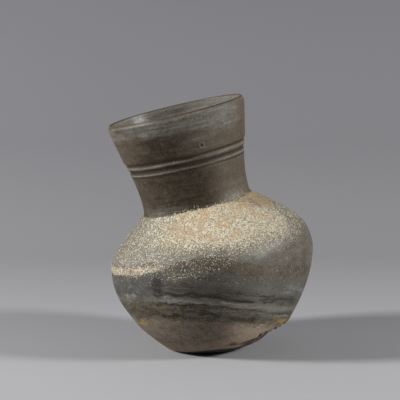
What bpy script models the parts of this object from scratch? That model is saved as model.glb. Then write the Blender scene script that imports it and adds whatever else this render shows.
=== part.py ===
"""A wide-mouthed grey stoneware jar, luted together from turned clay members, standing at its lean."""
import math

import bpy
from mathutils import Vector
from mathutils.geometry import interpolate_bezier

# Driving dimensions in millimetres. Heights run along the jar's own axis from the base edge,
# radii run out from that axis.
LEAN_DEG = 13.3
BASE_RADIUS = 56.0
BELLY_RADIUS = 90.0
BELLY_HEIGHT = 66.0
ROOT_RADIUS = 47.8
ROOT_HEIGHT = 119.2
NECK_TOP_RADIUS = 50.7
NECK_TOP_HEIGHT = 154.0
LIP_RADIUS = 60.7
LIP_HEIGHT = 202.0
CAP_RADIUS = 114.4
FLOOR_CLEAR = 0.6

# Wall thickness from the base up to the lip.
BASE_WALL = 6.5
BELLY_WALL = 5.6
ROOT_WALL = 5.2
RIDGE_WALL = 4.6
LIP_WALL = 3.0
FLOOR_THICKNESS = 8.0

# Slopes where the outline starts at the base and where the shoulder reaches the neck.
BASE_FLARE_DEG = 41.5
SHOULDER_SLOPE_DEG = 39.1

# Two fine ridges under the mouth: crest and groove radii with their heights.
RIDGE_LOW = (51.5, 156.1)
GROOVE_LOW = (50.7, 158.6)
RIDGE_HIGH = (53.5, 162.6)
GROOVE_HIGH = (52.7, 165.0)
MOUTH_FOOT = (54.8, 168.0)
MOUTH_TURN = (58.9, 187.3)

# Luted joints: the height outside and the height inside the wall, so every joint is slanted.
BELLY_JOINT = (66.0, 60.5)
ROOT_JOINT = (119.2, 115.0)
GROOVE_JOINT = (165.0, 161.2)
JOINT_GAP = 0.4

# The fused ash lies flush in the shoulder between two heights.
CRUST_LOW = 76.0
CRUST_HIGH = 117.3
CRUST_THICKNESS = 1.0
CRUST_GAP = 0.3

SEGMENTS = 56
MM = 0.001
LEAN = math.radians(LEAN_DEG)
CAP_CENTRE = math.sqrt(CAP_RADIUS ** 2 - BASE_RADIUS ** 2)
CAP_DEPTH = CAP_RADIUS - CAP_CENTRE


def curve(start, start_handle, end_handle, end, count):
    """Points along a cubic curve, both ends included."""
    knots = [Vector(p) for p in (start, start_handle, end_handle, end)]
    return [(p[0], p[1]) for p in interpolate_bezier(*knots, count)]


def step(point, angle_deg, length):
    """A point a given way off, at an angle up from straight out."""
    angle = math.radians(angle_deg)
    return (point[0] + length * math.cos(angle), point[1] + length * math.sin(angle))


def arc(radius, centre_height, start_radius, end_radius, count):
    """Points of a round bottom that is centred on the axis."""
    points = []
    for i in range(count):
        r = start_radius + (end_radius - start_radius) * i / (count - 1)
        points.append((r, centre_height - math.sqrt(radius ** 2 - r ** 2)))
    return points


def inward(points, start_depth, end_depth):
    """The same line moved into the wall, by a depth that changes evenly along it."""
    moved = []
    last = len(points) - 1
    for i, (r, z) in enumerate(points):
        before = points[max(i - 1, 0)]
        after = points[min(i + 1, last)]
        along = Vector((after[0] - before[0], after[1] - before[1])).normalized()
        depth = start_depth + (end_depth - start_depth) * i / last
        moved.append((r - along.y * depth, z + along.x * depth))
    return moved


def between(points, low, high):
    """The stretch of a rising line from one height to another."""
    def at(height):
        for (r0, z0), (r1, z1) in zip(points, points[1:]):
            if z0 <= height <= z1:
                return (r0 + (r1 - r0) * (height - z0) / max(z1 - z0, 1e-9), height)
        return points[0] if height < points[0][1] else points[-1]

    margin = 0.3
    middle = [p for p in points if low + margin < p[1] < high - margin]
    return [at(low)] + middle + [at(high)]


def downward(points):
    """The same line from its top end to its bottom end."""
    return list(reversed(points))


# The outside from the base edge up to the lip.
base_edge = (BASE_RADIUS, 0.0)
belly = (BELLY_RADIUS, BELLY_HEIGHT)
root = (ROOT_RADIUS, ROOT_HEIGHT)
neck_top = (NECK_TOP_RADIUS, NECK_TOP_HEIGHT)
lip = (LIP_RADIUS, LIP_HEIGHT)
lower_line = curve(base_edge, step(base_edge, 90 - BASE_FLARE_DEG, 26.4), step(belly, -90, 24.6), belly, 9)
shoulder_line = curve(belly, step(belly, 90, 21.0), step(root, -SHOULDER_SLOPE_DEG, 44.0), root, 11)
neck_line = curve(root, step(root, 97, 11.9), step(neck_top, -102, 10.5), neck_top, 6)
ridge_line = [RIDGE_LOW, GROOVE_LOW, RIDGE_HIGH, GROOVE_HIGH]
mouth_line = [MOUTH_FOOT] + curve(MOUTH_TURN, step(MOUTH_TURN, 79, 5.0), step(lip, -84, 5.0), lip, 4)
outside = lower_line + shoulder_line[1:] + neck_line[1:] + ridge_line + mouth_line

# The inside follows it one wall thickness in, and runs smoothly past the ridges.
inside = inward(lower_line, BASE_WALL, BELLY_WALL)
inside += inward(shoulder_line, BELLY_WALL, BELLY_WALL)[1:]
inside += inward(neck_line, ROOT_WALL, RIDGE_WALL)
inside += inward(mouth_line, RIDGE_WALL, LIP_WALL)

# The base: a shallow bowl of clay under the wall, round outside and inside.
floor_edge = inside[0]
floor_top = FLOOR_THICKNESS - CAP_DEPTH
floor_rise = floor_edge[1] - floor_top
floor_radius = (floor_edge[0] ** 2 + floor_rise ** 2) / (2 * floor_rise)
bowl = arc(floor_radius, floor_top + floor_radius, 0.0, floor_edge[0], 6)
underside = arc(CAP_RADIUS, CAP_CENTRE, BASE_RADIUS, 0.0, 8)
base_profile = bowl + underside

# The lower wall stands on the base edge and ends at the widest place.
half = JOINT_GAP / 2
lower_profile = downward(between(outside, JOINT_GAP, BELLY_JOINT[0] - half))
lower_profile += between(inside, floor_edge[1] + JOINT_GAP, BELLY_JOINT[1] - half)

# The shoulder closes in to the neck and is hollowed a little where the ash lies in it.
bed = between(outside, CRUST_LOW - CRUST_GAP, CRUST_HIGH + CRUST_GAP)
bed_depth = CRUST_THICKNESS + CRUST_GAP
shoulder_outside = between(outside, BELLY_JOINT[0] + half, CRUST_LOW - CRUST_GAP)
shoulder_outside += inward(bed, bed_depth, bed_depth)
shoulder_outside += between(outside, CRUST_HIGH + CRUST_GAP, ROOT_JOINT[0] - half)
shoulder_profile = downward(shoulder_outside)
shoulder_profile += between(inside, BELLY_JOINT[1] + half, ROOT_JOINT[1] - half)

# The neck stands in the shoulder and carries the ridges. The mouth band stands in the upper groove.
neck_profile = downward(between(outside, ROOT_JOINT[0] + half, GROOVE_JOINT[0] - half))
neck_profile += between(inside, ROOT_JOINT[1] + half, GROOVE_JOINT[1] - half)
lip_crown = [(LIP_RADIUS - LIP_WALL * 0.72, LIP_HEIGHT + 0.9), (LIP_RADIUS - LIP_WALL * 0.28, LIP_HEIGHT + 0.9)]
mouth_profile = downward(between(outside, GROOVE_JOINT[0] + half, LIP_HEIGHT))
mouth_profile += between(inside, GROOVE_JOINT[1] + half, inside[-1][1])
mouth_profile += lip_crown

# The ash: a thin skin of the shoulder's own outline.
crust_outside = between(outside, CRUST_LOW, CRUST_HIGH)
crust_profile = downward(crust_outside) + inward(crust_outside, CRUST_THICKNESS, CRUST_THICKNESS)


def group(name):
    """A new collection in the scene."""
    made = bpy.data.collections.new(name)
    bpy.context.scene.collection.children.link(made)
    return made


def finish_of(name, colour, roughness):
    """One plain material."""
    made = bpy.data.materials.new(name)
    made.use_nodes = True
    shader = made.node_tree.nodes["Principled BSDF"]
    shader.inputs["Base Color"].default_value = (*colour, 1.0)
    shader.inputs["Roughness"].default_value = roughness
    return made


def turned(name, profile, closed, material):
    """A solid turned round the jar's axis from its profile."""
    count = len(profile)
    edges = [(i, i + 1) for i in range(count - 1)]
    if closed:
        edges.append((count - 1, 0))
    mesh = bpy.data.meshes.new(name)
    mesh.from_pydata([(r * MM, 0.0, z * MM) for r, z in profile], edges, [])
    mesh.materials.append(material)
    made = bpy.data.objects.new(name, mesh)
    parts.objects.link(made)
    made.parent = jar_axis
    screw = made.modifiers.new("turn", "SCREW")
    screw.axis = "Z"
    screw.angle = 2 * math.pi
    screw.steps = SEGMENTS
    screw.render_steps = SEGMENTS
    screw.use_merge_vertices = True
    screw.merge_threshold = 0.00001
    screw.use_smooth_shade = True
    return made


for old in list(bpy.data.objects):
    bpy.data.objects.remove(old, do_unlink=True)

parts = group("stoneware_jar")
cutters = group("cutters")

# The jar's axis leans so that the round bottom rests on a flat, worn down to the floor.
jar_axis = bpy.data.objects.new("jar_axis", None)
jar_axis.location = (CAP_CENTRE * math.sin(LEAN) * MM, 0.0, (BASE_RADIUS * math.sin(LEAN) + FLOOR_CLEAR) * MM)
jar_axis.rotation_euler = (0.0, -LEAN, 0.0)
parts.objects.link(jar_axis)

tan_clay = finish_of("tan_clay", (0.16, 0.13, 0.10), 0.8)
streaked_clay = finish_of("streaked_clay", (0.10, 0.11, 0.11), 0.6)
grey_clay = finish_of("grey_clay", (0.13, 0.13, 0.12), 0.7)
olive_clay = finish_of("olive_clay", (0.09, 0.085, 0.07), 0.6)
rim_clay = finish_of("rim_clay", (0.16, 0.16, 0.14), 0.5)
fused_ash = finish_of("fused_ash", (0.40, 0.34, 0.24), 0.8)

base_disc = turned("base_disc", base_profile, False, tan_clay)
turned("lower_wall", lower_profile, True, streaked_clay)
turned("shoulder_wall", shoulder_profile, True, grey_clay)
turned("neck_collar", neck_profile, True, olive_clay)
turned("mouth_band", mouth_profile, True, rim_clay)
turned("ash_crust", crust_profile, True, fused_ash)

# The flat the jar rests on.
floor_half = BELLY_RADIUS * MM
floor_depth = CAP_DEPTH * MM * 2
floor_block = bpy.data.meshes.new("floor_block")
corners = [(x, y, z) for z in (-floor_depth, 0.0) for y in (-floor_half, floor_half) for x in (-floor_half, floor_half)]
sides = [(0, 2, 3, 1), (4, 5, 7, 6), (0, 1, 5, 4), (2, 6, 7, 3), (0, 4, 6, 2), (1, 3, 7, 5)]
floor_block.from_pydata(corners, [], sides)
floor_cutter = bpy.data.objects.new("floor_cutter", floor_block)
cutters.objects.link(floor_cutter)
floor_cutter.display_type = "WIRE"
floor_cutter.hide_render = True
flat = base_disc.modifiers.new("flat", "BOOLEAN")
flat.operation = "DIFFERENCE"
flat.solver = "EXACT"
flat.object = floor_cutter
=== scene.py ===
import math
from types import SimpleNamespace

import bpy
import numpy as np
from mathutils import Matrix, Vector


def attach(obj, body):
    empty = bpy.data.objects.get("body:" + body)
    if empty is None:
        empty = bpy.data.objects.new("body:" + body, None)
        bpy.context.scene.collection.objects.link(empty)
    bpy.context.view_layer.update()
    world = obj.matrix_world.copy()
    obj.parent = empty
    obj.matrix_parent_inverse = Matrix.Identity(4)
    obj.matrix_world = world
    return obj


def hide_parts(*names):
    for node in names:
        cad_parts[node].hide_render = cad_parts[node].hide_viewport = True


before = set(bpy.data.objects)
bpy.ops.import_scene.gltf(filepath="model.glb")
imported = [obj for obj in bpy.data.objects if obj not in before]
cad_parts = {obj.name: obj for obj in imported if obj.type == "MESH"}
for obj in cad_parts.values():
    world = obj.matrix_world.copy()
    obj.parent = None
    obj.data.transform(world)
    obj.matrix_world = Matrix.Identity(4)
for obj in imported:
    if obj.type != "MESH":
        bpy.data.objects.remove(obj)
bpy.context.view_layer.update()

MM = 0.001

# The jar's outline in millimetres, as in the solids: radii out from its axis, heights along it.
LEAN = math.radians(13.3)
BASE_RADIUS = 56.0
BELLY = (90.0, 66.0)
ROOT = (47.8, 119.2)
NECK_TOP = (50.7, 154.0)
RIDGES = [(51.5, 156.1), (50.7, 158.6), (53.5, 162.6), (52.7, 165.0), (54.8, 168.0)]
MOUTH_TURN = (58.9, 187.3)
LIP = (60.7, 202.0)
LIP_CROWN = 0.9
LIP_BEVEL, BEVEL_FOOT = 1.1, 199.3
CAP_RADIUS = 114.4
FLOOR_CLEAR = 0.6
CAP_CENTRE = math.sqrt(CAP_RADIUS ** 2 - BASE_RADIUS ** 2)
FOOT = (CAP_CENTRE * math.sin(LEAN), 0.0, BASE_RADIUS * math.sin(LEAN) + FLOOR_CLEAR)

# How the curves leave and reach those points: degrees up from straight out, and a length.
EDGE_UP, BELLY_DOWN, BELLY_UP = (48.5, 26.4), (-90, 24.6), (90, 21.0)
ROOT_DOWN, ROOT_UP, NECK_TOP_DOWN = (-39.1, 44.0), (97, 11.9), (-102, 10.5)
MOUTH_UP, LIP_DOWN = (79, 5.0), (-84, 5.0)

# Wall thickness at the base, belly, neck root, ridges and lip, and of the floor inside.
BASE_WALL, BELLY_WALL, ROOT_WALL, RIDGE_WALL, LIP_WALL = 6.5, 5.6, 5.2, 4.6, 3.0
FLOOR_THICKNESS = 8.0

# The slanted joints between the members: their heights outside and inside.
BELLY_JOINT = (66.0, 60.5)
ROOT_JOINT = (119.2, 115.0)
GROOVE_JOINT = (165.0, 161.2)

# The crust of ash: its lowest and highest place on the shoulder and how deep it is bedded.
CRUST_LOW, CRUST_HIGH = 73.0, 118.9
CRUST_BED = 0.7

# Points on the curves, the way between fine points, and how many of those a corner takes up.
BODY_POINTS, NECK_POINTS, RIM_POINTS = 200, 120, 60
FINE, INNER_FINE = 0.1, 0.5
CORNER_REACH, EDGE_REACH = 4, 30

# Mesh density: columns, millimetres between rows outside, rows elsewhere and the first radius.
COLUMNS, CRUST_COLUMNS = 720, 1000
ROW_STEP, BASE_STEP, CRUST_STEP = 0.85, 1.5, 0.75
INNER_ROWS, CROWN_STEPS, BED_ROWS = 24, 8, 6
POLE_RADIUS = 2.0

# Multipliers that scramble a cell's place into a random number, and what each finer noise adds.
HASH_X, HASH_Y, HASH_Z, HASH_SEED, HASH_MIX = 374761393, 668265263, 1440662683, 974634777, 1274126177
HASH_MOST = 0xFFFFFF
FINER_SHARE, FINER_SEED = 0.55, 17


def lattice(ix, iy, iz, seed):
    """A random number from 0 to 1 for each cell of a grid."""
    n = ix * HASH_X + iy * HASH_Y + iz * HASH_Z + seed * HASH_SEED
    n = (n ^ (n >> 13)) * HASH_MIX
    n = (n ^ (n >> 16)) & HASH_MOST
    return n / float(HASH_MOST)


def noise(points, size, seed):
    """Smooth noise from 0 to 1 with features of about the given size."""
    p = points / size
    cell = np.floor(p).astype(np.int64)
    f = p - cell
    f = f * f * (3 - 2 * f)
    shares = [(1 - f[..., k], f[..., k]) for k in range(3)]
    total = 0.0
    for dx, dy, dz in np.ndindex(2, 2, 2):
        corner = lattice(cell[..., 0] + dx, cell[..., 1] + dy, cell[..., 2] + dz, seed)
        total = total + shares[0][dx] * shares[1][dy] * shares[2][dz] * corner
    return total


def layered(points, size, seed, octaves=3):
    """Several sizes of noise added up, from -1 to 1."""
    total, weight, whole = 0.0, 1.0, 0.0
    for i in range(octaves):
        total = total + weight * noise(points, size / 2 ** i, seed + FINER_SEED * i)
        whole += weight
        weight *= FINER_SHARE
    return 2 * total / whole - 1


def drawn(points, share):
    """Points pressed together sideways, which draws noise out round the jar."""
    return points * np.array([share, share, 1.0])


def rise(x, low, high):
    """Smooth step from 0 at low to 1 at high."""
    t = np.clip((x - low) / (high - low), 0, 1)
    return t * t * (3 - 2 * t)


def band(x, low, high, soft):
    """1 between low and high, fading over soft at both ends."""
    return rise(x, low - soft, low + soft) * (1 - rise(x, high - soft, high + soft))


def hump(x, wide):
    """A soft hump: 1 at 0 and 0 far off."""
    return np.exp(-(x / wide) ** 2)


def spot(across, up, wide, tall):
    """A soft round spot: 1 in the middle and 0 far out."""
    return hump(across, wide) * hump(up, tall)


def strongest(*masks):
    """The highest of several masks at each point."""
    return np.maximum.reduce(masks)


def curve(start, start_handle, end_handle, end, count):
    """Points on a smooth curve between two points, led by two handles."""
    t = np.linspace(0, 1, count)[:, None]
    a, b, c, d = (np.array(p, float) for p in (start, start_handle, end_handle, end))
    return (1 - t) ** 3 * a + 3 * (1 - t) ** 2 * t * b + 3 * (1 - t) * t * t * c + t ** 3 * d


def step(point, angle_deg, length):
    """A point a given way off, at an angle up from straight out."""
    angle = math.radians(angle_deg)
    return (point[0] + length * math.cos(angle), point[1] + length * math.sin(angle))


def even(line, spacing):
    """The same line with points an even way apart."""
    way = np.concatenate([[0], np.cumsum(np.hypot(*np.diff(line, axis=0).T))])
    at = np.linspace(0, way[-1], max(2, int(round(way[-1] / spacing)) + 1))
    return np.stack([np.interp(at, way, line[:, 0]), np.interp(at, way, line[:, 1])], 1)


def softened(line, reach):
    """The line with its corners rounded; reach is in points."""
    pad = 3 * reach
    kernel = np.exp(-0.5 * (np.arange(-pad, pad + 1) / reach) ** 2)
    kernel /= kernel.sum()
    before = 2 * line[0] - line[pad:0:-1]
    after = 2 * line[-1] - line[-2:-pad - 2:-1]
    ends = np.vstack([before, line, after])
    return np.stack([np.convolve(ends[:, k], kernel, "valid") for k in (0, 1)], 1)


def outward(line):
    """Directions square to a line, away from the axis."""
    along = np.gradient(line, axis=0)
    along /= np.linalg.norm(along, axis=1)[:, None]
    return np.stack([along[:, 1], -along[:, 0]], 1)


# The outline as one line from the middle of the underside up to the lip.
edge = (BASE_RADIUS, 0.0)
under_r = np.linspace(0, BASE_RADIUS, BODY_POINTS)
under = np.stack([under_r, CAP_CENTRE - np.sqrt(CAP_RADIUS ** 2 - under_r ** 2)], 1)
lower = curve(edge, step(edge, *EDGE_UP), step(BELLY, *BELLY_DOWN), BELLY, BODY_POINTS)
shoulder = curve(BELLY, step(BELLY, *BELLY_UP), step(ROOT, *ROOT_DOWN), ROOT, BODY_POINTS)
neck = curve(ROOT, step(ROOT, *ROOT_UP), step(NECK_TOP, *NECK_TOP_DOWN), NECK_TOP, NECK_POINTS)
rim = curve(MOUTH_TURN, step(MOUTH_TURN, *MOUTH_UP), step(LIP, *LIP_DOWN), LIP, RIM_POINTS)
mouth = np.vstack([[RIDGES[-1]], rim])

wall_line = np.vstack([lower, shoulder[1:], neck[1:], RIDGES[:-1], mouth])
wall_line = softened(even(wall_line, FINE), CORNER_REACH)
base_line = even(under, FINE)
outline = np.vstack([base_line, wall_line[1:]])
edge_at = len(base_line) - 1
near_edge = slice(edge_at - EDGE_REACH, edge_at + EDGE_REACH)
outline[near_edge] = softened(outline, CORNER_REACH)[near_edge]
run = np.concatenate([[0], np.cumsum(np.hypot(*np.diff(outline, axis=0).T))])
normal = outward(outline)


def run_at(height):
    """Way along the outline at a height of the wall."""
    return float(np.interp(height, outline[edge_at:, 1], run[edge_at:]))


def outline_at(way):
    """Radius, height and outward direction at ways along the outline, as columns."""
    r, z = (np.interp(way, run, outline[:, k])[:, None] for k in (0, 1))
    n_r, n_z = (np.interp(way, run, normal[:, k])[:, None] for k in (0, 1))
    return r, z, n_r, n_z


RUN_EDGE = run[edge_at]
RUN_BELLY = run_at(BELLY_JOINT[0])
RUN_ROOT = run_at(ROOT_JOINT[0])
RUN_GROOVE = run_at(GROOVE_JOINT[0])
RUN_LIP = run[-1]

# The inside: one wall thickness in, running straight past the ridges.
inner_parts = []
for line, thick, thin in ((lower, BASE_WALL, BELLY_WALL), (shoulder, BELLY_WALL, BELLY_WALL),
                          (neck, ROOT_WALL, RIDGE_WALL), (even(mouth, INNER_FINE), RIDGE_WALL, LIP_WALL)):
    depth = np.linspace(thick, thin, len(line))[:, None]
    inner_parts.append(line - depth * outward(line))
inner_line = softened(even(np.vstack(inner_parts), INNER_FINE), CORNER_REACH)
inner_edge, inner_top = inner_line[0], inner_line[-1]
floor_top = FLOOR_THICKNESS - (CAP_RADIUS - CAP_CENTRE)
floor_rise = inner_edge[1] - floor_top
floor_radius = (inner_edge[0] ** 2 + floor_rise ** 2) / (2 * floor_rise)


def jar_points(r, z, columns=COLUMNS):
    """Points in the jar's own frame: rows of the outline by columns round the axis."""
    theta = np.linspace(-math.pi, math.pi, columns, endpoint=False)
    return np.stack([r * np.sin(theta), -r * np.cos(theta), z * np.ones(columns)], -1)


def leaning(points):
    """Jar frame to the part's frame, with nothing below the floor, in millimetres."""
    x = points[..., 0] * math.cos(LEAN) - points[..., 2] * math.sin(LEAN) + FOOT[0]
    z = points[..., 0] * math.sin(LEAN) + points[..., 2] * math.cos(LEAN) + FOOT[2]
    return np.stack([x, points[..., 1] + FOOT[1], np.maximum(z, 0.0)], -1)


def turn_and_height(points):
    """Angle round the axis in degrees, from the front to the right, and height."""
    return np.degrees(np.arctan2(points[..., 0], -points[..., 1])), points[..., 2]


# Marks of fire and ash: heights along the axis in millimetres, and an angle in degrees.
ASH_EDGE = 91
LEDGE_BOTTOM, LEDGE_TOP = 77.8, 86.2
RIM_FILM_LOW = 188.0
UPPER_RIDGE, LOWER_RIDGE = (161.3, 163.7), (155.3, 156.9)
INSIDE_LINES = ((196.4, 198.0), (189.5, 191.0))
NECK_START = (118.0, 119.6)
LIP_FOOT = 201.1
CRACK = -36.0

# The grooves under the mouth, darkened with painted shade: height and half width.
GROOVES = ((165.6, 0.9), (158.9, 1.3), (154.0, 0.7))

# Chips in the base edge: angle in degrees, length and depth in millimetres.
CHIPS = ((30, 2.4, 2.0), (36, 1.8, 2.6), (41, 1.3, 1.4), (47, 2.2, 2.8), (54, 1.4, 1.6), (62, 2.6, 2.6),
         (71, 1.8, 2.0), (84, 2.6, 1.8), (-128, 2.4, 2.0), (152, 3.0, 1.8))
CHIP_HEIGHT = 1.9

# The burst blister: its angle and height, its rim's radius and height, and its depth.
BLISTER = (17.0, 172.6)
BLISTER_RADIUS, BLISTER_RIM, BLISTER_PIT = 2.0, 0.8, 0.5

# Levels of the runs of melted ash above the floor, and how they rise towards the viewer.
TAN_FADE, YELLOW_LINE, OLIVE_RUN, BLUE_RUN = (18.5, 23.5), (20, 25), (22, 36.5), (40, 68)
PALE_THREAD, PALE_RUN, PALE_LEFT = (30.6, 33.8), (35.5, 40.5), (42, 48)
DARK_RUN, DARK_HAZE, DARK_THREAD = (41.6, 44.6), (44, 54), (48.6, 50.2)
JAGGED_RUN, SMEAR_RUN = (38.5, 45.5), (42, 62)
UMBER_FOOT, UMBER_TOP = (57, 64), 71
LEVEL_TILT = 0.214
DOWNWARD = np.array([1.0, 1.0, 0.12])

# Relief in millimetres: wobble, warps, turning rings, lumps, grain and the hollow under the edge.
WOBBLE_TWO, WOBBLE_THREE = 0.2, 0.12
WARP_LEFT, WARP_RIGHT = 1.3, 1.2
RINGS, LUMPS, CLAY_GRAIN = 0.11, 0.1, 0.06
EDGE_HOLLOW = 2.6

# The crust's relief: grains, thick ash, the shelf, and how far all of it and its ends are sunk.
GRAIN_HEIGHT, HEAP_HEIGHT, SHELF_HEIGHT = 0.42, 0.3, 0.18
CRUST_SUNK, END_SUNK = 0.2, 0.5

# The masks on each mesh: those of the body alone, and all of them.
BODY_ONLY = ("tan", "olive", "dark", "blue", "rust", "painted_sheen_patch", "dust", "haze_and_painted_sheen", "peach", "ledge", "painted_under_shade",
             "pale", "umber", "warm")
MARKS = BODY_ONLY + ("level", "tone", "ash", "film", "groove", "lip", "brown", "glass")


def ash_density(points):
    """How thick the ash lies, from 0 to 1."""
    angle, z = turn_and_height(points)
    sway = layered(drawn(points, 0.3), 16, 3)
    middle = band(angle, -18, 78, 24)
    far_left = (1 - rise(angle, -88, -30)) * rise(angle, -175, -130)
    low = ASH_EDGE - 2 * middle - 7 * band(angle, 12, 62, 14) + 2.5 * sway
    dense = rise(z, low - 16, low + 12) * (0.7 + 0.32 * middle - 0.36 * far_left + 0.1 * sway)
    bare_right = rise(angle, 44, 62) * (1 - rise(angle, 88, 110)) * rise(z + 2 * sway, 106, 112)
    far_right = rise(angle, 52, 74) * (1 - rise(angle, 100, 130))
    dense = dense * (1 - 0.35 * bare_right) * (1 - 0.25 * far_right)
    sparse = 0.54 * rise(z, 58 + 4 * sway, 94) + 0.1 * band(angle, 62, 130, 14) * rise(z, 70, 90)
    sparse = sparse + 0.24 * spot(angle + 11, z - 73, 15, 5) + 0.22 * spot(angle - 28, z - 82, 18, 9)
    return np.clip(np.maximum(dense, sparse * (1 - 0.12 * far_left)), 0, 1)


def ledge(points):
    """The shelf of ash that ends in a crisp edge on the left side."""
    angle, z = turn_and_height(points)
    sway = layered(drawn(points, 0.3), 9, 41)
    bottom = LEDGE_BOTTOM + 1.6 * sway + 2.5 * rise(angle, -48, -22)
    top = LEDGE_TOP + 2.8 * layered(points, 5, 47)
    along = rise(angle, -102, -84) * (1 - rise(angle + 12 * sway, -31, -5))
    return rise(z, bottom - 0.4, bottom + 0.6) * (1 - rise(z, top - 4, top + 4.2)) * along


def peach_patches(points):
    """Where the ash has fused to a peach-coloured skin."""
    angle, z = turn_and_height(points)
    cloud = layered(points, 6.5, 53)
    middle = band(angle, -34, 60, 24) * rise(z, 86, 99)
    right = rise(angle, 48, 70) * (1 - rise(angle, 88, 112)) * rise(z, 100, 108)
    seam = rise(z, 115, 117.6) * band(angle, -25, 75, 12)
    patches = middle * (0.18 + 0.82 * rise(cloud, -0.25, 0.35))
    return np.clip(patches + 0.8 * right + 0.4 * seam, 0, 1)


def bites(points):
    """The chips in the base edge, in millimetres of depth."""
    angle, z = turn_and_height(points)
    z = z + 0.8 * layered(points, 4, 207)
    total = 0
    for place, length, depth in CHIPS:
        across = np.radians(angle - place) * BASE_RADIUS
        total = np.maximum(total, depth * spot(across, z, length, CHIP_HEIGHT))
    return total


def from_blister(points):
    """The way to the middle of the burst blister on the mouth."""
    angle, z = turn_and_height(points)
    across = np.radians(angle - BLISTER[0]) * np.hypot(points[..., 0], points[..., 1])
    return np.hypot(across, z - BLISTER[1])


def body_places(points):
    """Places on the body, the waves in its marks and the levels of its runs."""
    placed = leaning(points)
    at = SimpleNamespace(x=placed[..., 0])
    at.angle, at.z = turn_and_height(points)
    at.level = placed[..., 2] + LEVEL_TILT * placed[..., 1]
    at.wave = layered(drawn(points, 0.3), 14, 5)
    at.ripple = layered(drawn(points, 0.3), 4.5, 23)
    at.quiver = layered(drawn(points, 0.6), 3.2, 29)
    at.blotched = layered(points, 8, 71)
    drip = layered(points * DOWNWARD, 3.4, 31)
    at.left = rise(-at.x - 7 * at.ripple - 4 * at.wave, 28, 44)
    at.right = rise(at.x, 25, 60)
    at.front = rise(-points[..., 1], -10, 20)
    sloped = at.level + 0.09 * np.clip(at.x, -30, 55) + 2.6 * at.wave + 1.5 * at.ripple + 0.9 * at.quiver
    at.sloped = sloped + 5 * rise(-at.x, 5, 45) * at.blotched
    at.plain = at.level + 2 * at.wave + 1.4 * at.ripple + 2.2 * drip
    at.plain = at.plain + 3 * rise(-at.x, 10, 45) * at.blotched
    return at


def pale_runs(at):
    """The pale blue-grey run, a thread below it and pale spots."""
    middle = (1 - at.left) * (1 - at.right)
    # The run is made stronger towards the right, in part as painted sheen.
    main = band(at.sloped, *PALE_RUN, 1.6) * (0.58 * at.left + 0.84 * middle + 0.95 * at.right)
    main = main * (0.85 + 0.45 * at.blotched)
    thread = 0.75 * band(at.sloped, *PALE_THREAD, 1.2) * rise(at.x, -30, 20)
    upper = 0.55 * band(at.sloped, *PALE_LEFT, 3) * at.left * rise(at.wave, -0.1, 0.4)
    spots = [1.1 * spot(at.x - 76, at.level - 50 + 3 * at.wave, 13, 6),
             0.45 * spot(at.x + 38, at.level - 12 + 2 * at.ripple, 11, 5),
             0.95 * spot(at.x + 62 + 4 * at.ripple, at.level - 43 + 3 * at.wave, 8, 6),
             0.5 * spot(at.x + 79, at.level - 57, 7, 9)]
    return strongest(main, thread, upper, strongest(*spots) * at.front)


def dark_runs(at):
    """The dark run, its haze and thread, a jagged patch and a smear."""
    main = band(at.sloped, *DARK_RUN, 1.2) * (1 - at.left) * (1 - 0.75 * rise(at.x, 34, 52))
    main = main * (1.15 + 0.4 * at.blotched)
    haze_and_painted_sheen = 0.5 * band(at.sloped, *DARK_HAZE, 4) * (1 - at.left) * (1 - 0.45 * at.right)
    thread = 0.7 * band(at.sloped, *DARK_THREAD, 0.9) * rise(-at.x, -12, 6) * (1 - rise(-at.x, 44, 56))
    jagged = band(at.level + 2.4 * at.quiver + 2 * at.ripple, *JAGGED_RUN, 0.8) * band(at.x, 46, 80, 4)
    smear = hump(at.x + 38 + 2.5 * at.ripple, 4.6) * band(at.level + 2 * at.wave, *SMEAR_RUN, 4)
    return strongest(main, haze_and_painted_sheen, thread, 0.6 * jagged, 1.05 * smear * at.front)


def yellow_spots(at):
    """Yellow spots and a yellow line at the top of the bare foot."""
    spots = 0.5 * spot(at.x + 47, at.level - 21.5, 13, 5) + spot(at.x - 68, at.level - 23.5, 4.5, 3)
    return spots + (0.56 + 0.1 * at.right) * band(at.plain, *YELLOW_LINE, 2) * rise(at.ripple, -0.2, 0.4)


def umber_belt(at):
    """The brown belt between the runs and the ash."""
    belt = at.level + 2.2 * at.wave + 1.6 * at.ripple + 0.9 * at.quiver
    top = UMBER_TOP + 7 * hump(at.x - 6, 24)
    belt = rise(belt, *UMBER_FOOT) * (1 - rise(belt, top - 2, top + 3))
    return belt * rise(at.x, -36, -20) * (1 - 0.45 * rise(at.x, 40, 60))


def painted_under_shade(points, at):
    """Painted shade under the base and in the chips, and a painted shadow low on the front of the foot."""
    under = np.maximum(rise(-4.4 + 0.075 * (at.x + 18.9) - at.level, -0.6, 0.8), 0.55 * rise(at.x, 28, 36))
    under = np.maximum(under, 0.55 * (1 - at.front)) * rise(-at.z, 0.2, 1.2)
    chipped = np.minimum(0.55 * bites(points), 0.95)
    return strongest(under, chipped, 0.55 * spot(at.x - 27, at.level - 2.5, 9, 3) * at.front)


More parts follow.
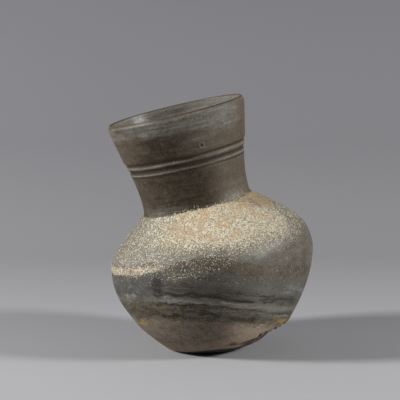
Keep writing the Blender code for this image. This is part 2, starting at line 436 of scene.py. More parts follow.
def body_marks(points):
    """Runs of melted ash and fire marks on the body, with painted sheen on the right and painted shade
    under the base.
    """
    at = body_places(points)
    shelf = ledge(points)
    # The tone is raised in a band right of the front as painted sheen, and raised low on the body.
    tone_and_sheen = 0.32 + 0.38 * band(at.angle, 10, 36, 9) + 0.18 * (1 - rise(at.z, 36, 56))
    # A pale patch of painted sheen on the right.
    sheen_spot = spot(at.angle - 46, at.z - 86 + 3 * at.wave, 21, 12)
    sheen_spot = sheen_spot + 0.6 * spot(at.angle - 27, at.z - 79 + 3 * at.wave, 15, 9)
    dust = rise(at.z, 74, 86) * (1 - rise(at.angle, -10, 22) * (1 - rise(at.angle, 90, 140)))
    return {
        "level": at.sloped,
        "tan": 1 - rise(at.plain, *TAN_FADE),
        "olive": band(at.sloped, *OLIVE_RUN, 2.5),
        "pale": pale_runs(at),
        "dark": dark_runs(at),
        "blue": band(at.sloped, *BLUE_RUN, 6) * (0.58 + 0.42 * at.left) * (1 - 0.15 * at.right),
        "rust": yellow_spots(at),
        "tone": tone_and_sheen + 0.3 * layered(drawn(points, 0.6), 11, 97) + 0.1 * at.ripple,
        "umber": umber_belt(at),
        "warm": 1 - rise(at.z + 2 * at.wave, 1, 13),
        "ash": strongest(ash_density(points), 0.16 * rise(at.level, 36, 60), 0.66 * shelf),
        "painted_sheen_patch": sheen_spot,
        "dust": dust * (1 - 0.95 * rise(at.angle, -150, -105) * (1 - rise(at.angle, -90, -40))),
        # Painted sheen: a lighter zone low on the right, towards the viewer.
        "haze_and_painted_sheen": band(at.x, 21, 84, 9) * (1 - rise(at.sloped, 36, 43)) * at.front,
        "peach": peach_patches(points),
        "ledge": shelf,
        "painted_under_shade": painted_under_shade(points, at),
    }


def neck_film(points, wave, streak):
    """The grey film at the rim, on the ridges and at the neck's root."""
    angle, z = turn_and_height(points)
    facing = 1 - rise(angle, 100, 165)
    rim_low = RIM_FILM_LOW + 1.8 * layered(drawn(points, 0.3), 12, 7) - 3 * rise(angle, 10, 50) * facing
    rim = 0.52 + 0.16 * rise(angle, -50, -20) + 0.36 * rise(angle, -5, 30) - 0.52 * rise(angle, 110, 170)
    rim = rim - 0.8 * rise(angle, 42, 70) * (1 - rise(angle, 100, 140))
    rim = rise(z, rim_low - 2.5 - 7 * rise(angle, 2, 32) * facing, rim_low + 2.5) * rim
    # The pale bands on the ridges are ash film and in part a painted highlight on their upward faces,
    # dimmer at the front.
    ridges = np.maximum(band(z, *UPPER_RIDGE, 0.4), band(z, *LOWER_RIDGE, 0.4))
    ridges = ridges * (1 - 0.35 * hump(angle - 4, 26))
    ridges = np.maximum(ridges, 0.75 * spot(angle - 32, z - 153.4, 24, 1.6))
    root = 0.62 * hump(angle - 46, 22) + 0.4 * hump(angle + 40, 30) + 0.14
    root = root * (1 - rise(z + 3 * wave, 121, 134))
    broad = 0.42 * spot(angle - 14, z - 179, 30, 12)
    return strongest(rim, broad, (0.85 + 0.2 * streak) * ridges, root)


def neck_tone(points, streak):
    """How light the brown of the neck is."""
    angle, z = turn_and_height(points)
    upper = rise(z, 160, 168)
    # The neck is made lighter right of the front, in part as painted sheen.
    tone = 0.1 + 0.7 * rise(angle, 2 - 14 * upper, 42 - 14 * upper) * (1 - rise(angle, 100, 160))
    tone = tone - 0.14 * rise(angle, 50, 75) * (1 - rise(angle, 90, 130))
    tone = tone + (0.16 + 0.18 * upper) * (1 - rise(angle, -62, -25)) * rise(angle, -178, -110)
    return tone + 0.1 * streak + 0.14 * layered(drawn(points, 0.3), 10, 95)


def neck_marks(points, marks):
    """Adds the neck and mouth: brown, a grey film, grooves, the blister and the lip."""
    angle, z = turn_and_height(points)
    wave = layered(drawn(points, 0.3), 14, 5)
    streak = layered(drawn(points, 0.05), 2.6, 91)
    # The grooves are darkened with painted shade, in the tone and in the brown; the blister's hollow and
    # the crack are darkened too.
    grooves = strongest(*(hump(z - height, wide) for height, wide in GROOVES))
    lip_foot = LIP_FOOT - 1.2 * rise(-angle, 50, 78) * (1 - rise(-angle, 105, 135))
    lip = 0.9 * rise(z + 0.4 * wave, lip_foot - 0.3, lip_foot + 0.6)
    across = np.radians(angle - CRACK) * LIP[0] + 1.2 * layered(points, 5, 113)
    crack = hump(across, 0.7) * rise(z, 187, 190)
    away = from_blister(points) + 0.7 * layered(points, 2.5, 117)
    hollow = 0.6 * rise(-away, -1.3, -0.4)
    ring = hump(away - BLISTER_RADIUS, 0.8)
    high = rise(z, *NECK_START)
    tone = neck_tone(points, streak) * (1 - 0.8 * grooves) + 0.3 * ring
    marks["tone"] = marks["tone"] * (1 - high) + high * tone
    top = 0.6 * rise(z, 199.6, 200.4)
    film = strongest(neck_film(points, wave, streak), top, 0.5 * ring)
    marks["film"] = high * film * (1 - lip)
    marks["groove"] = high * strongest(grooves, hollow, 0.8 * crack)
    marks["lip"] = lip
    marks["brown"] = high
    marks["glass"] = 0.8 * rise(z, 199.5, 201.5)
    climbing = 0.48 * (1 - rise(z + 2 * wave, 119.5, 125)) * band(angle, -32, 75, 15)
    climbing = np.maximum(climbing, 0.4 * spot(angle - 52, z - 119, 22, 9))
    marks["ash"] = marks["ash"] * (1 - high) + high * climbing
    for name in BODY_ONLY:
        marks[name] = marks[name] * (1 - high)


def zones(points):
    """The marks on the outside as masks from 0 to 1."""
    marks = body_marks(points)
    neck_marks(points, marks)
    return {name: value if name == "level" else np.clip(value, 0, 1) for name, value in marks.items()}


def relief(points):
    """How far the clay stands out of its outline, in millimetres."""
    angle, z = turn_and_height(points)
    theta = np.radians(angle)
    neck_part = rise(z, 120.5, 125)
    wobble = WOBBLE_TWO * np.sin(2 * theta + 0.6) + WOBBLE_THREE * np.sin(3 * theta + 2)
    out = wobble * rise(z, 4, 40)
    out = out - WARP_LEFT * band(z, 30, 84, 9) * hump(angle + 90, 45)
    out = out + WARP_RIGHT * spot(angle - 90, z - 64, 40, 14)
    out = out + RINGS * layered(drawn(points, 0.02), 2.4, 61) * (0.35 + 0.65 * neck_part)
    out = out + LUMPS * layered(drawn(points, 0.3), 7, 131) * (1 - neck_part)
    out = out + CLAY_GRAIN * layered(points, 1.7, 151)
    away = from_blister(points)
    out = out + BLISTER_RIM * hump(away - BLISTER_RADIUS, 0.8) - BLISTER_PIT * hump(away, 1.1)
    out = out - LIP_BEVEL * np.clip((z - BEVEL_FOOT) / (LIP[1] - BEVEL_FOOT), 0, 1)
    out = out - EDGE_HOLLOW * band(angle, 14, 96, 12) * rise(-z, 0, 2.5) * (1 - rise(-z, 7, 11))
    return out - bites(points)


def outer_rows(start, end, spacing=ROW_STEP):
    """Rows of the outside between two ways along the outline, with the relief and without."""
    count = max(2, int(round((end - start) / spacing)) + 1)
    r, z, n_r, n_z = outline_at(np.linspace(start, end, count))
    flat = jar_points(r, z)
    out = relief(flat)
    return jar_points(r + out * n_r, z + out * n_z), flat


def inner_rows(low, high):
    """Rows of the inside between two heights, from the top down."""
    z = np.linspace(high, low, INNER_ROWS)[:, None]
    return jar_points(np.interp(z, inner_line[:, 1], inner_line[:, 0]), z)


def inside_marks(points):
    """The inside: clay with a film of ash and brown lines near the mouth."""
    angle, z = turn_and_height(points)
    streak = layered(drawn(points, 0.06), 3.0, 301)
    marks = {name: np.zeros(z.shape) for name in MARKS}
    # The left of the inside is given less film and a lower tone: painted shade.
    shady = hump(angle + 85, 38)
    marks["film"] = rise(z, 150, 178) * (1.0 + 0.3 * streak) * (1 - 0.6 * shady)
    marks["glass"] = rise(z, 165, 185)
    sag = z + 1.5 * layered(drawn(points, 0.2), 8, 311)
    lines = strongest(*(band(sag, low, high, 0.7) for low, high in INSIDE_LINES))
    marks["groove"] = lines * (0.75 + 0.6 * streak)
    marks["brown"] = np.ones(z.shape)
    marks["tone"] = np.clip(0.8 + 0.3 * streak - 0.45 * shady, 0, 1)
    return marks


def joined_marks(parts):
    """Masks of several groups of rows, put together."""
    return {name: np.concatenate([p[name] for p in parts]) for name in MARKS}


def placed_object(name, data):
    """A new object in the scene."""
    made = bpy.data.objects.new(name, data)
    bpy.context.scene.collection.objects.link(made)
    return made


def build(name, rows, closed, material, marks):
    """A mesh of rows by columns: closed on itself, or with a pole at each end."""
    verts = leaning(rows) * MM
    count, columns = rows.shape[:2]
    index = np.arange(count * columns).reshape(count, columns)
    right = np.roll(index, -1, axis=1)
    values = {key: value.reshape(-1) for key, value in marks.items()}
    if closed:
        above, above_right = np.roll(index, -1, axis=0), np.roll(right, -1, axis=0)
        faces = np.stack([index, right, above_right, above], -1).reshape(-1, 4).tolist()
        points = verts.reshape(-1, 3)
    else:
        faces = np.stack([index[:-1], right[:-1], right[1:], index[1:]], -1).reshape(-1, 4).tolist()
        points = np.vstack([verts.reshape(-1, 3), verts[[0, -1]].mean(axis=1)])
        first, last = len(points) - 2, len(points) - 1
        faces += [(first, b, a) for a, b in zip(index[0].tolist(), right[0].tolist())]
        faces += [(last, a, b) for a, b in zip(index[-1].tolist(), right[-1].tolist())]
        values = {key: np.append(value, [value[0], value[-1]]) for key, value in values.items()}
    mesh = bpy.data.meshes.new(name)
    mesh.from_pydata(points.tolist(), [], faces)
    mesh.polygons.foreach_set("use_smooth", [True] * len(mesh.polygons))
    for key, value in values.items():
        mesh.attributes.new(key, "FLOAT", "POINT").data.foreach_set("value", value.astype(np.float32))
    mesh.materials.append(material)
    mesh.update()
    return placed_object(name, mesh)


def sharpen(obj, rows):
    """Marks the rings of edges along some rows as sharp."""
    mesh = obj.data
    ends = np.zeros(len(mesh.edges) * 2, np.int32)
    mesh.edges.foreach_get("vertices", ends)
    ends = ends.reshape(-1, 2) // COLUMNS
    sharp = (ends[:, 0] == ends[:, 1]) & np.isin(ends[:, 0], rows)
    mesh.attributes.new("sharp_edge", "BOOLEAN", "EDGE").data.foreach_set("value", sharp)


# Colours of the fired clay and its marks, and how shiny, rough and bumpy the surface is.
GREY_DARK, GREY_LIGHT = (0.066, 0.055, 0.040), (0.200, 0.174, 0.138)
# The first colour on the next line is a painted sheen.
PAINTED_SHEEN, DUST = (0.36, 0.34, 0.295), (0.190, 0.184, 0.154)
WASH, UMBER_DARK, UMBER = (0.165, 0.166, 0.152), (0.045, 0.034, 0.024), (0.150, 0.122, 0.088)
BROWN_DARK, BROWN = (0.031, 0.022, 0.012), (0.143, 0.113, 0.081)
BLUE_DARK, BLUE = (0.048, 0.045, 0.038), (0.130, 0.128, 0.117)
# The second colour on the next line is painted shade in the grooves, and also the colour of brown lines
# inside the mouth and the crack.
DARK, GROOVE, LIP_BROWN = (0.032, 0.026, 0.022), (0.040, 0.027, 0.016), (0.092, 0.066, 0.040)
OLIVE_DARK, OLIVE, OCHRE = (0.030, 0.024, 0.015), (0.105, 0.091, 0.064), (0.155, 0.118, 0.058)
TAN_DARK, TAN, TAN_WARM = (0.082, 0.063, 0.045), (0.228, 0.181, 0.136), (0.235, 0.171, 0.120)
FILM_DARK, FILM, SCUFF = (0.115, 0.113, 0.098), (0.265, 0.263, 0.240), (0.34, 0.31, 0.26)
RIM_DARK, RIM = (0.094, 0.087, 0.068), (0.238, 0.226, 0.194)
RUST, FLECK, EMBER = (0.30, 0.222, 0.080), (0.17, 0.085, 0.032), (0.30, 0.155, 0.045)
CREAM_DARK, CREAM, FAINT = (0.52, 0.45, 0.32), (0.76, 0.68, 0.51), (0.34, 0.31, 0.24)
PEACH, PEACH_LIGHT = (0.45, 0.33, 0.20), (0.60, 0.425, 0.265)
SHELF, SHELF_PALE = (0.31, 0.215, 0.155), (0.43, 0.365, 0.27)
ASH_GREY, ASH_LIGHT, ASH_GAP = (0.165, 0.155, 0.125), (0.37, 0.315, 0.225), (0.060, 0.054, 0.045)
# The last colour on the next line is painted shade under the base and in the chips.
PIT, PAINTED_SHADE = (0.012, 0.010, 0.009), (0.020, 0.017, 0.014)
CLAY_SHINE = 0.18
CLAY_ROUGHNESS, FILM_SMOOTHER, GLASS_SMOOTHER = 0.62, 0.18, 0.22
BUMP_HEIGHT, BUMP_STRENGTH = 0.22, 0.7


class Nodes:
    """Adds and links the nodes of one tree."""

    def __init__(self, tree):
        self.nodes, self.links = tree.nodes, tree.links

    def add(self, kind, settings=None, **inputs):
        """A new node; its inputs go by name, with _ for a space."""
        made = self.nodes.new(kind)
        for key, value in (settings or {}).items():
            setattr(made, key, value)
        for key, value in inputs.items():
            self.put(made.inputs[key.replace("_", " ")], value)
        return made

    def put(self, socket, value):
        """Links a socket to another, or sets it to a plain value."""
        if isinstance(value, bpy.types.NodeSocket):
            self.links.new(value, socket)
        elif socket.type == "RGBA":
            socket.default_value = (*value, 1.0)
        else:
            socket.default_value = value

    def math(self, operation, first, second=0.0):
        made = self.add("ShaderNodeMath", {"operation": operation})
        self.put(made.inputs[0], first)
        self.put(made.inputs[1], second)
        return made.outputs[0]

    def plus(self, first, second):
        return self.math("ADD", first, second)

    def times(self, first, second):
        return self.math("MULTIPLY", first, second)

    def most(self, first, second):
        return self.math("MAXIMUM", first, second)

    def span(self, value, low, high, shape="SMOOTHSTEP"):
        """Step of a value from 0 at low to 1 at high."""
        made = self.add("ShaderNodeMapRange", {"interpolation_type": shape}, Value=value)
        self.put(made.inputs["From Min"], low)
        self.put(made.inputs["From Max"], high)
        return made.outputs["Result"]

    def blend(self, amount, first, second):
        """One colour or another, by an amount."""
        made = self.add("ShaderNodeMix", {"data_type": "RGBA"}, Factor=amount)
        self.put(made.inputs[6], first)
        self.put(made.inputs[7], second)
        return made.outputs[2]

    def mixed(self, amount, first, second):
        """One shader or another, by an amount."""
        made = self.add("ShaderNodeMixShader")
        for socket, value in zip(made.inputs, (amount, first, second)):
            self.put(socket, value)
        return made.outputs[0]

    def seen_directly(self):
        """1 for the rays that show the background: from the camera, mirrored or passed through."""
        path = self.add("ShaderNodeLightPath").outputs
        other = self.most(path["Is Glossy Ray"], path["Is Transmission Ray"])
        return self.most(path["Is Camera Ray"], other)


class Paint(Nodes):
    """The nodes of one material, in the jar's own frame and in millimetres."""

    def __init__(self, name):
        self.material = bpy.data.materials.new(name)
        self.material.use_nodes = True
        super().__init__(self.material.node_tree)
        self.shader = self.nodes["Principled BSDF"]
        place = self.add("ShaderNodeTexCoord").outputs["Object"]
        upright = self.add("ShaderNodeMapping", Vector=place, Rotation=(0, LEAN, 0), Scale=(1 / MM,) * 3)
        self.place = upright.outputs["Vector"]

    def scaled(self, size, stretch):
        """The place in parts of a size, pressed together along each axis."""
        made = self.add("ShaderNodeVectorMath", {"operation": "MULTIPLY"})
        self.put(made.inputs[0], self.place)
        self.put(made.inputs[1], tuple(s / size for s in stretch))
        return made.outputs[0]

    def noise(self, size, detail=3.0, stretch=(1, 1, 1), roughness=0.55):
        """Noise with features of about the given size."""
        made = self.add("ShaderNodeTexNoise", Vector=self.scaled(size, stretch), Scale=1.0, Detail=detail,
                        Roughness=roughness)
        return made.outputs["Fac"]

    def flow(self, size, detail, along=0.09, offset=0.0):
        """Noise drawn out along the lines that are level as the jar leans."""
        split = self.add("ShaderNodeSeparateXYZ", Vector=self.place).outputs
        across = self.shifted(split["X"], along / size, offset)
        deep = self.shifted(split["Y"], along / size, 0.0)
        up = self.shifted(self.mark("level"), 1 / size, 0.0)
        joined = self.add("ShaderNodeCombineXYZ", X=across, Y=deep, Z=up)
        made = self.add("ShaderNodeTexNoise", Vector=joined.outputs[0], Scale=1.0, Detail=detail,
                        Roughness=0.62, Distortion=0.7)
        return made.outputs["Fac"]

    def cells(self, size):
        """Scattered points: the way to the nearest, and its random number."""
        made = self.add("ShaderNodeTexVoronoi", Vector=self.scaled(size, (1, 1, 1)), Scale=1.0)
        split = self.add("ShaderNodeSeparateColor", Color=made.outputs["Color"])
        return made.outputs["Distance"], split.outputs[0]

    def mark(self, name):
        """One of the masks on the mesh."""
        return self.add("ShaderNodeAttribute", {"attribute_name": name}).outputs["Fac"]

    def shifted(self, value, amount, middle=0.5):
        """A value's distance from its middle, times an amount."""
        made = self.math("MULTIPLY_ADD", value, amount)
        made.node.inputs[2].default_value = -middle * amount
        return made

    def stirred(self, value, grain, amount):
        """A value with noise added."""
        return self.plus(value, self.shifted(grain, amount))

    def ragged(self, name, grain, amount, low=0.25, high=0.75):
        """A mask with its soft edge broken up by noise."""
        mask = self.mark(name)
        edge = self.span(self.stirred(mask, grain, amount), low, high)
        return self.times(edge, self.span(mask, 0.0, 0.3))

    def choose(self, amount, first, second):
        """One value or another, by an amount."""
        made = self.add("ShaderNodeMix", {"data_type": "FLOAT"})
        self.put(made.inputs[0], amount)
        self.put(made.inputs[2], first)
        self.put(made.inputs[3], second)
        return made.outputs[0]

    def scale(self, colour, amount):
        """A colour made lighter or darker."""
        made = self.add("ShaderNodeVectorMath", {"operation": "SCALE"}, Scale=amount)
        self.put(made.inputs[0], colour)
        return made.outputs[0]


class Clay(Paint):
    """Fired clay with its fire marks, runs of melted ash and grains of ash."""

    def __init__(self, name):
        super().__init__(name)
        self.cloud = self.noise(6.0, 5, roughness=0.65)
        self.grain = self.noise(1.4, 4, roughness=0.7)
        self.fine = self.noise(0.6, 2)
        self.wiped = self.noise(2.2, 4, (0.1, 0.1, 1.0), 0.6)
        self.blotch = self.noise(10.0, 6, (0.7, 0.7, 1.0), 0.62)
        self.patchy = self.noise(4.4, 6, (0.6, 0.6, 1.0), 0.68)
        self.flowing = self.flow(2.6, 5)
        self.thread = self.flow(1.6, 4, 0.1, 40.0)
        self.mingled = self.choose(0.5, self.grain, self.cloud)
        self.lines = self.choose(self.mark("brown"), self.flowing, self.wiped)
        self.streaks = self.stirred(self.lines, self.grain, 0.35)
        tone = self.stirred(self.mark("tone"), self.cloud, 0.9)
        self.tone = self.stirred(tone, self.grain, 0.5)
        self.umber = self.blend(self.stirred(self.tone, self.blotch, 0.8), UMBER_DARK, UMBER)
        blue = self.blend(self.stirred(self.tone, self.patchy, 0.8), BLUE_DARK, BLUE)
        self.blue = self.blend(self.where(self.blotch, 0.5, 0.6, 0.45), blue, self.umber)
        self.colour = self.blend(self.tone, GREY_DARK, GREY_LIGHT)

    def where(self, grain, low, high, amount):
        """As much as an amount where a noise is high."""
        return self.times(self.span(grain, low, high), amount)

    def lay(self, amount, colour):
        """Lays a colour over what is there."""
        self.colour = self.blend(amount, self.colour, colour)

    def dots(self, size, outer, inner, fray):
        """Frayed dots, and a random number for each."""
        away, picked = self.cells(size)
        return self.span(self.stirred(away, self.fine, fray), outer, inner), picked

    def bare(self):
        """Bare clay: grey body, brown neck, dusty, pale and blue-grey places, and a pale patch of painted
        sheen.
        """
        self.lay(self.where(self.blotch, 0.49, 0.6, 0.5), WASH)
        self.lay(self.where(self.patchy, 0.52, 0.62, 0.5), self.umber)
        self.lay(self.mark("dust"), self.blend(self.span(self.patchy, 0.56, 0.68), DUST, GREY_LIGHT))
        self.lay(self.ragged("umber", self.patchy, 1.6, 0.2, 0.8), self.umber)
        # A pale patch of painted sheen on the right.
        self.lay(self.ragged("painted_sheen_patch", self.patchy, 1.6, 0.1, 1.3), PAINTED_SHEEN)
        lined_tone = self.stirred(self.tone, self.lines, 0.45)
        self.lay(self.mark("brown"), self.blend(lined_tone, BROWN_DARK, BROWN))
        self.lay(self.ragged("blue", self.cloud, 0.8, 0.1, 0.9), self.blue)

    def foot(self):
        """The colour of the bare foot."""
        colour = self.blend(self.stirred(self.tone, self.mingled, 1.0), TAN_DARK, TAN)
        colour = self.blend(self.where(self.thread, 0.58, 0.72, 0.35), colour, SCUFF)
        warm = self.times(self.ragged("warm", self.cloud, 0.8, 0.2, 0.9), 0.6)
        colour = self.blend(warm, colour, TAN_WARM)
        return self.blend(self.where(self.patchy, 0.54, 0.64, 0.45), colour, self.umber)

    def melted(self):
        """Olive, dark and pale runs of melted ash, and the bare foot under them."""
        uneven = self.stirred(self.shifted(self.grain, 0.5), self.patchy, 0.5)
        olive = self.blend(self.span(self.plus(self.flowing, uneven), 0.36, 0.66), OLIVE_DARK, OLIVE)
        olive = self.blend(self.where(self.thread, 0.56, 0.7, 0.7), olive, OCHRE)
        self.lay(self.ragged("olive", self.choose(0.45, self.flowing, self.cloud), 1.6, 0.15, 0.7), olive)
        torn = self.choose(0.5, self.flowing, self.patchy)
        frayed = self.stirred(self.choose(0.5, torn, self.thread), self.grain, 0.35)
        self.lay(self.ragged("dark", frayed, 2.8, 0.25, 0.9), DARK)
        self.lay(self.ragged("tan", self.grain, 1.0, 0.2, 0.8), self.foot())
        # Painted sheen: the colour is lightened where that mask lies, low on the right.
        self.colour = self.scale(self.colour, self.plus(self.times(self.mark("haze_and_painted_sheen"), 0.64), 1.0))
        film = self.blend(self.span(self.streaks, 0.28, 0.75), FILM_DARK, FILM)
        self.lay(self.ragged("pale", torn, 3.2, 0.3, 1.1), film)

        # Threads and stains that break up the runs.
        stained = self.mark("olive")
        runs = self.most(stained, self.most(self.mark("pale"), self.mark("dark")))
        self.lay(self.where(self.flow(1.1, 4, 0.05, 90.0), 0.55, 0.68, self.times(runs, 0.5)), film)
        self.lay(self.where(self.blotch, 0.48, 0.58, self.times(stained, 0.6)), self.blue)
        self.lay(self.where(self.patchy, 0.51, 0.6, self.times(stained, 0.5)), FILM_DARK)
        self.lay(self.where(self.cloud, 0.53, 0.64, self.times(stained, 0.55)), OCHRE)
        self.lay(self.where(self.flow(1.3, 4, 0.06, 150.0), 0.55, 0.67, self.times(runs, 0.6)), OLIVE_DARK)
        self.lay(self.ragged("rust", self.mingled, 2.2, 0.4, 1.0), RUST)

    def filmed(self):
        """The film on the neck and mouth, brown lines and painted shade in the grooves, the brown lip and
        painted shade under the base.
        """
        smooth = self.plus(self.choose(0.4, self.streaks, self.cloud), self.times(self.mark("glass"), 0.13))
        film = self.blend(self.span(smooth, 0.26, 0.74), RIM_DARK, RIM)
        self.lay(self.ragged("film", self.choose(0.3, self.wiped, self.grain), 0.7, 0.1, 1.0), film)
        # Painted shade in the grooves, and brown lines inside the mouth and at the crack.
        self.lay(self.times(self.mark("groove"), 0.75), GROOVE)
        self.lay(self.ragged("lip", self.grain, 0.6), LIP_BROWN)
        # Painted shade under the base and in the chips.
        self.lay(self.ragged("painted_under_shade", self.choose(0.5, self.patchy, self.grain), 1.3), PAINTED_SHADE)

    def flecked(self):
        """Rusty flecks and dark specks, most on the foot and the olive run."""
        dot, picked = self.dots(2.6, 0.26, 0.14, 0.3)
        self.lay(self.times(dot, self.math("LESS_THAN", picked, 0.16)), FLECK)
        self.lay(self.times(dot, self.math("GREATER_THAN", picked, 0.9)), PIT)
        dot, picked = self.dots(1.5, 0.3, 0.16, 0.3)
        dot = self.times(dot, self.most(self.mark("tan"), self.mark("olive")))
        self.lay(self.times(dot, self.math("LESS_THAN", picked, 0.22)), UMBER_DARK)
        ember = self.times(dot, self.math("GREATER_THAN", picked, 0.66))
        self.lay(self.times(ember, self.span(self.mark("rust"), 0.02, 0.22)), EMBER)

    def ashed(self):
        """Ash: a peach, grey or brown skin, cream grains and dark gaps."""
        ash = self.mark("ash")
        peach = self.ragged("peach", self.mingled, 1.6, 0.3, 0.8)
        skin = self.blend(peach, self.blend(self.span(ash, 0.5, 0.95), ASH_GREY, ASH_LIGHT), PEACH)
        shelf = self.blend(self.span(self.patchy, 0.42, 0.56), SHELF, SHELF_PALE)
        skin = self.blend(self.ragged("ledge", self.grain, 0.8), skin, shelf)
        crusted = self.most(ash, self.times(self.mark("peach"), 0.9))
        self.lay(self.span(self.stirred(crusted, self.grain, 1.2), 0.45, 0.95), skin)
        dusty = self.plus(self.noise(0.95, 2), self.times(ash, 0.42))
        self.lay(self.where(dusty, 0.72, 0.84, 0.6), self.blend(peach, FAINT, PEACH))

        far, kind = self.cells(1.15)
        far = self.stirred(far, self.fine, 0.4)
        reach = self.plus(self.shifted(ash, 0.68, 0.06), self.times(self.mark("grain"), 0.06))
        clump = self.noise(2.6, 4, roughness=0.7)
        reach = self.plus(reach, self.stirred(self.shifted(clump, 0.9), kind, 0.22))
        speck = self.span(self.math("SUBTRACT", reach, far), -0.08, 0.08)
        speck = self.times(speck, self.span(ash, 0.04, 0.16))
        cream = self.blend(self.span(kind, 0.1, 0.7), CREAM_DARK, CREAM)
        warm = self.most(peach, self.where(self.patchy, 0.56, 0.44, self.mark("ledge")))
        self.lay(speck, self.blend(self.where(kind, 0.48, 0.64, warm), cream, PEACH_LIGHT))
        gap, chance = self.dots(1.7, 0.3, 0.16, 0.4)
        gap = self.times(gap, self.math("LESS_THAN", chance, 0.52))
        gap = self.where(ash, 0.35, 0.7, gap)
        self.lay(self.times(gap, 0.8), ASH_GAP)
        return speck, gap

    def finished(self):
        """The material with its colour, roughness, gloss and bump."""
        self.bare()
        self.melted()
        self.filmed()
        self.flecked()
        speck, gap = self.ashed()
        hole, picked = self.cells(6.0)
        pit = self.where(hole, 0.1, 0.06, self.math("LESS_THAN", picked, 0.3))
        self.lay(pit, PIT)
        shade = self.plus(self.shifted(self.plus(self.grain, self.fine), 1.0, 1.0), 1.0)
        self.put(self.shader.inputs["Base Color"], self.scale(self.colour, shade))

        glossy = self.most(self.mark("film"), self.mark("pale"))
        rough = self.plus(self.shifted(self.grain, 0.3), CLAY_ROUGHNESS)
        rough = self.math("SUBTRACT", rough, self.times(glossy, FILM_SMOOTHER))
        rough = self.math("SUBTRACT", rough, self.times(self.mark("glass"), GLASS_SMOOTHER))
        self.put(self.shader.inputs["Roughness"], rough)
        self.put(self.shader.inputs["Specular IOR Level"], CLAY_SHINE)

        height = self.plus(self.plus(self.grain, self.times(self.fine, 0.5)), self.times(speck, 0.9))
        height = self.math("SUBTRACT", height, self.plus(pit, gap))
        bump = self.add("ShaderNodeBump", Height=height, Distance=BUMP_HEIGHT * MM, Strength=BUMP_STRENGTH)
        self.put(self.shader.inputs["Normal"], bump.outputs["Normal"])
        return self.material


def walled(name, start, end, inner_low, inner_high, crowns=()):
    """A ring of wall between two slanted joints, or up to the crown of the lip."""
    outside, flat = outer_rows(start, end)
    inside = inner_rows(inner_low, inner_high)
    rows = np.concatenate([outside, *crowns, inside])
    marks = joined_marks([zones(flat), *(zones(crown) for crown in crowns), inside_marks(inside)])
    made = build(name, rows, True, Clay(name).finished(), marks)
    ends = [0, len(rows) - 1]
    if not crowns:
        ends += [len(outside) - 1, len(outside)]
    sharpen(made, ends)
    return made


def lip_crown():
    """The rounded top of the lip."""
    turn = np.linspace(0, math.pi, CROWN_STEPS + 1)[1:-1, None]
    outer = LIP[0] - LIP_BEVEL
    middle, half = (outer + inner_top[0]) / 2, (outer - inner_top[0]) / 2
    z = LIP[1] + (inner_top[1] - LIP[1]) * turn / math.pi + LIP_CROWN * np.sin(turn)
    return jar_points(middle + half * np.cos(turn), z)


def base():
    """The sagged disc, with the flat it stands on and a bowl inside."""
    outside, flat = outer_rows(POLE_RADIUS, RUN_EDGE, BASE_STEP)
    r = np.linspace(inner_edge[0], POLE_RADIUS, INNER_ROWS)[:, None]
    bowl = jar_points(r, floor_top + floor_radius - np.sqrt(floor_radius ** 2 - r ** 2))
    marks = joined_marks([zones(flat), inside_marks(bowl)])
    rows = np.concatenate([outside, bowl])
    made = build("base_clay", rows, False, Clay("base_clay").finished(), marks)
    sharpen(made, [len(outside) - 1, len(outside)])
    return made


def crust():
    """The crust of ash: grains proud of the shoulder, sinking into it where they thin out."""
    at = np.arange(run_at(CRUST_LOW), run_at(CRUST_HIGH), CRUST_STEP)
    r, z, n_r, n_z = outline_at(at)
    flat = jar_points(r, z, CRUST_COLUMNS)
    shelf = ledge(flat)
    thick = np.maximum(ash_density(flat), 0.95 * shelf)
    start = 0.5 - 0.95 * thick
    heap = rise(layered(flat, 1.9, 401, 2), start, start + 0.5)
    proud = GRAIN_HEIGHT * heap + HEAP_HEIGHT * rise(thick, 0.55, 0.95) + SHELF_HEIGHT * shelf
    ends = rise(at, at[0], at[0] + 3)[:, None] * (1 - 0.6 * rise(at, at[-1] - 1.0, at[-1])[:, None])
    out = relief(flat) + proud * ends - CRUST_SUNK - END_SUNK * (1 - ends)
    outside = jar_points(r + out * n_r, z + out * n_z, CRUST_COLUMNS)
    inner = slice(None, None, -len(at) // BED_ROWS)
    bed = jar_points((r - CRUST_BED * n_r)[inner], (z - CRUST_BED * n_z)[inner], CRUST_COLUMNS)
    marks = joined_marks([zones(flat), zones(bed)])
    marks["grain"] = np.concatenate([heap, np.zeros(bed.shape[:2])])
    rows = np.concatenate([outside, bed])
    return build("ash_crust_grains", rows, True, Clay("fused_ash").finished(), marks)


lower_piece = walled("lower_wall_clay", RUN_EDGE, RUN_BELLY, inner_edge[1], BELLY_JOINT[1])
shoulder_piece = walled("shoulder_clay", RUN_BELLY, RUN_ROOT, BELLY_JOINT[1], ROOT_JOINT[1])
neck_piece = walled("neck_clay", RUN_ROOT, RUN_GROOVE, ROOT_JOINT[1], GROOVE_JOINT[1])
mouth_piece = walled("mouth_clay", RUN_GROOVE, RUN_LIP, GROOVE_JOINT[1], inner_top[1], [lip_crown()])
base_piece = base()
crust_piece = crust()

PIECES = (
    (base_piece, "base_disc", "tan_clay"),
    (lower_piece, "lower_wall", "streaked_clay"),
    (shoulder_piece, "shoulder_wall", "grey_clay"),
    (neck_piece, "neck_collar", "olive_clay"),
    (mouth_piece, "mouth_band", "rim_clay"),
    (crust_piece, "ash_crust", "fused_ash"),
)
for piece, node, slot in PIECES:
    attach(piece, "root")
    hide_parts(node)

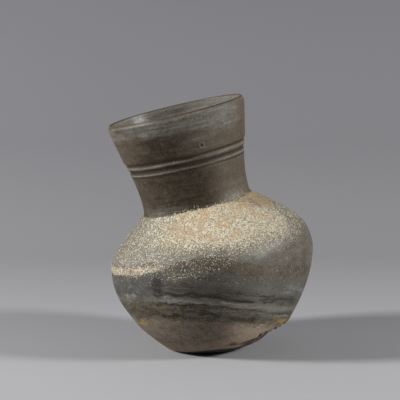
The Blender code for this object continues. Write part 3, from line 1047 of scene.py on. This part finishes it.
# The room in metres: a grey sweep of paper, faint light all round and two lamps, by angle and power.
FLOOR_FRONT, FLOOR_BACK, WALL_TOP, HALF_WIDTH = -2.5, 0.46, 2.2, 3.0
SWEEP_RADIUS, SWEEP_STEPS = 0.3, 24
PAPER_START, PAPER_END = -0.12, 0.8
PAPER_PALE, PAPER_DEEP, PAPER_ROUGHNESS = (0.452, 0.452, 0.465), (0.203, 0.200, 0.212), 0.9
ROOM_GREY, ROOM_NEAR, ROOM_FAR = (0.42, 0.42, 0.43), 0.5, 1.0
ROOM_WHITE, ROOM_LIGHT = (1, 1, 1), 0.02
LAMPS = (("left_lamp", 165.5, 80), ("right_lamp", 17.5, 51))
LAMP_ELEVATION, LAMP_DISTANCE, LAMP_SIZE = math.radians(24), 2.6, 0.47
LAMP_AIM = Vector((0.0, 0.0, 0.09))


def paper_grey():
    """Grey paper that darkens up the backdrop as painted shade for the light falling off, is even far off
    and clear from behind.
    """
    made = bpy.data.materials.new("grey_paper")
    made.use_nodes = True
    tree = Nodes(made.node_tree)
    shader = tree.nodes["Principled BSDF"]
    tree.put(shader.inputs["Roughness"], PAPER_ROUGHNESS)
    place = tree.add("ShaderNodeTexCoord").outputs["Object"]
    split = tree.add("ShaderNodeSeparateXYZ", Vector=place).outputs
    deepening = tree.span(tree.plus(split["Y"], split["Z"]), PAPER_START, PAPER_END, "LINEAR")
    tree.put(shader.inputs["Base Color"], tree.blend(deepening, PAPER_PALE, PAPER_DEEP))

    away = tree.most(tree.math("ABSOLUTE", split["X"]), tree.times(split["Y"], -1.0))
    far = tree.span(away, ROOM_NEAR, ROOM_FAR, "LINEAR")
    glow = tree.add("ShaderNodeEmission", Color=ROOM_GREY).outputs[0]
    front = tree.mixed(tree.times(far, tree.seen_directly()), shader.outputs[0], glow)
    behind = tree.add("ShaderNodeNewGeometry").outputs["Backfacing"]
    clear = tree.add("ShaderNodeBsdfTransparent").outputs[0]
    tree.put(tree.nodes["Material Output"].inputs["Surface"], tree.mixed(behind, front, clear))
    return made


profile = [(FLOOR_FRONT, 0.0), (FLOOR_BACK, 0.0)]
profile += [(FLOOR_BACK + SWEEP_RADIUS * math.sin(a), SWEEP_RADIUS * (1 - math.cos(a)))
            for a in np.linspace(0, math.pi / 2, SWEEP_STEPS)[1:]]
profile.append((FLOOR_BACK + SWEEP_RADIUS, WALL_TOP))
verts = [(x, y, z) for y, z in profile for x in (-HALF_WIDTH, HALF_WIDTH)]
faces = [(2 * i, 2 * i + 1, 2 * i + 3, 2 * i + 2) for i in range(len(profile) - 1)]
paper = bpy.data.meshes.new("paper_sweep")
paper.from_pydata(verts, [], faces)
paper.polygons.foreach_set("use_smooth", [True] * len(paper.polygons))
paper.materials.append(paper_grey())
sweep = placed_object("paper_sweep", paper)


def lamp(name, azimuth_deg, power):
    """A square lamp aimed at the belly, turned from the right towards the viewer."""
    data = bpy.data.lights.new(name, "AREA")
    data.shape = "SQUARE"
    data.size = LAMP_SIZE
    data.energy = power
    made = placed_object(name, data)
    azimuth = math.radians(azimuth_deg)
    out, up = LAMP_DISTANCE * math.cos(LAMP_ELEVATION), LAMP_DISTANCE * math.sin(LAMP_ELEVATION)
    made.location = LAMP_AIM + Vector((out * math.cos(azimuth), -out * math.sin(azimuth), up))
    made.rotation_euler = (LAMP_AIM - made.location).to_track_quat("-Z", "Y").to_euler()


for settings in LAMPS:
    lamp(*settings)

world = bpy.data.worlds.new("room")
world.use_nodes = True
room = Nodes(world.node_tree)
room_light = room.nodes["Background"]
room.put(room_light.inputs["Color"], ROOM_WHITE)
room.put(room_light.inputs["Strength"], ROOM_LIGHT)
room_view = room.add("ShaderNodeBackground", Color=ROOM_GREY)
room_mix = room.mixed(room.seen_directly(), room_light.outputs[0], room_view.outputs[0])
room.put(room.nodes["World Output"].inputs["Surface"], room_mix)
bpy.context.scene.world = world

# The camera at the photograph's place: its height, pitch and distance fitted to the jar's outline.
CAMERA_FROM_FOOT = Vector((-24.8, -1395.0, 309.0)) * MM
CAMERA_PITCH = math.radians(7.8)
FOCAL_PIXELS, IMAGE_PIXELS, SENSOR = 1600.0, 400.0, 36.0
camera = bpy.data.cameras.new("camera")
camera.sensor_width = SENSOR
camera.lens = SENSOR * FOCAL_PIXELS / IMAGE_PIXELS
view = placed_object("camera", camera)
view.location = Vector(FOOT) * MM + CAMERA_FROM_FOOT
view.rotation_euler = (math.pi / 2 - CAMERA_PITCH, 0.0, 0.0)
bpy.context.scene.camera = view

bpy.context.scene.view_settings.view_transform = "Standard"
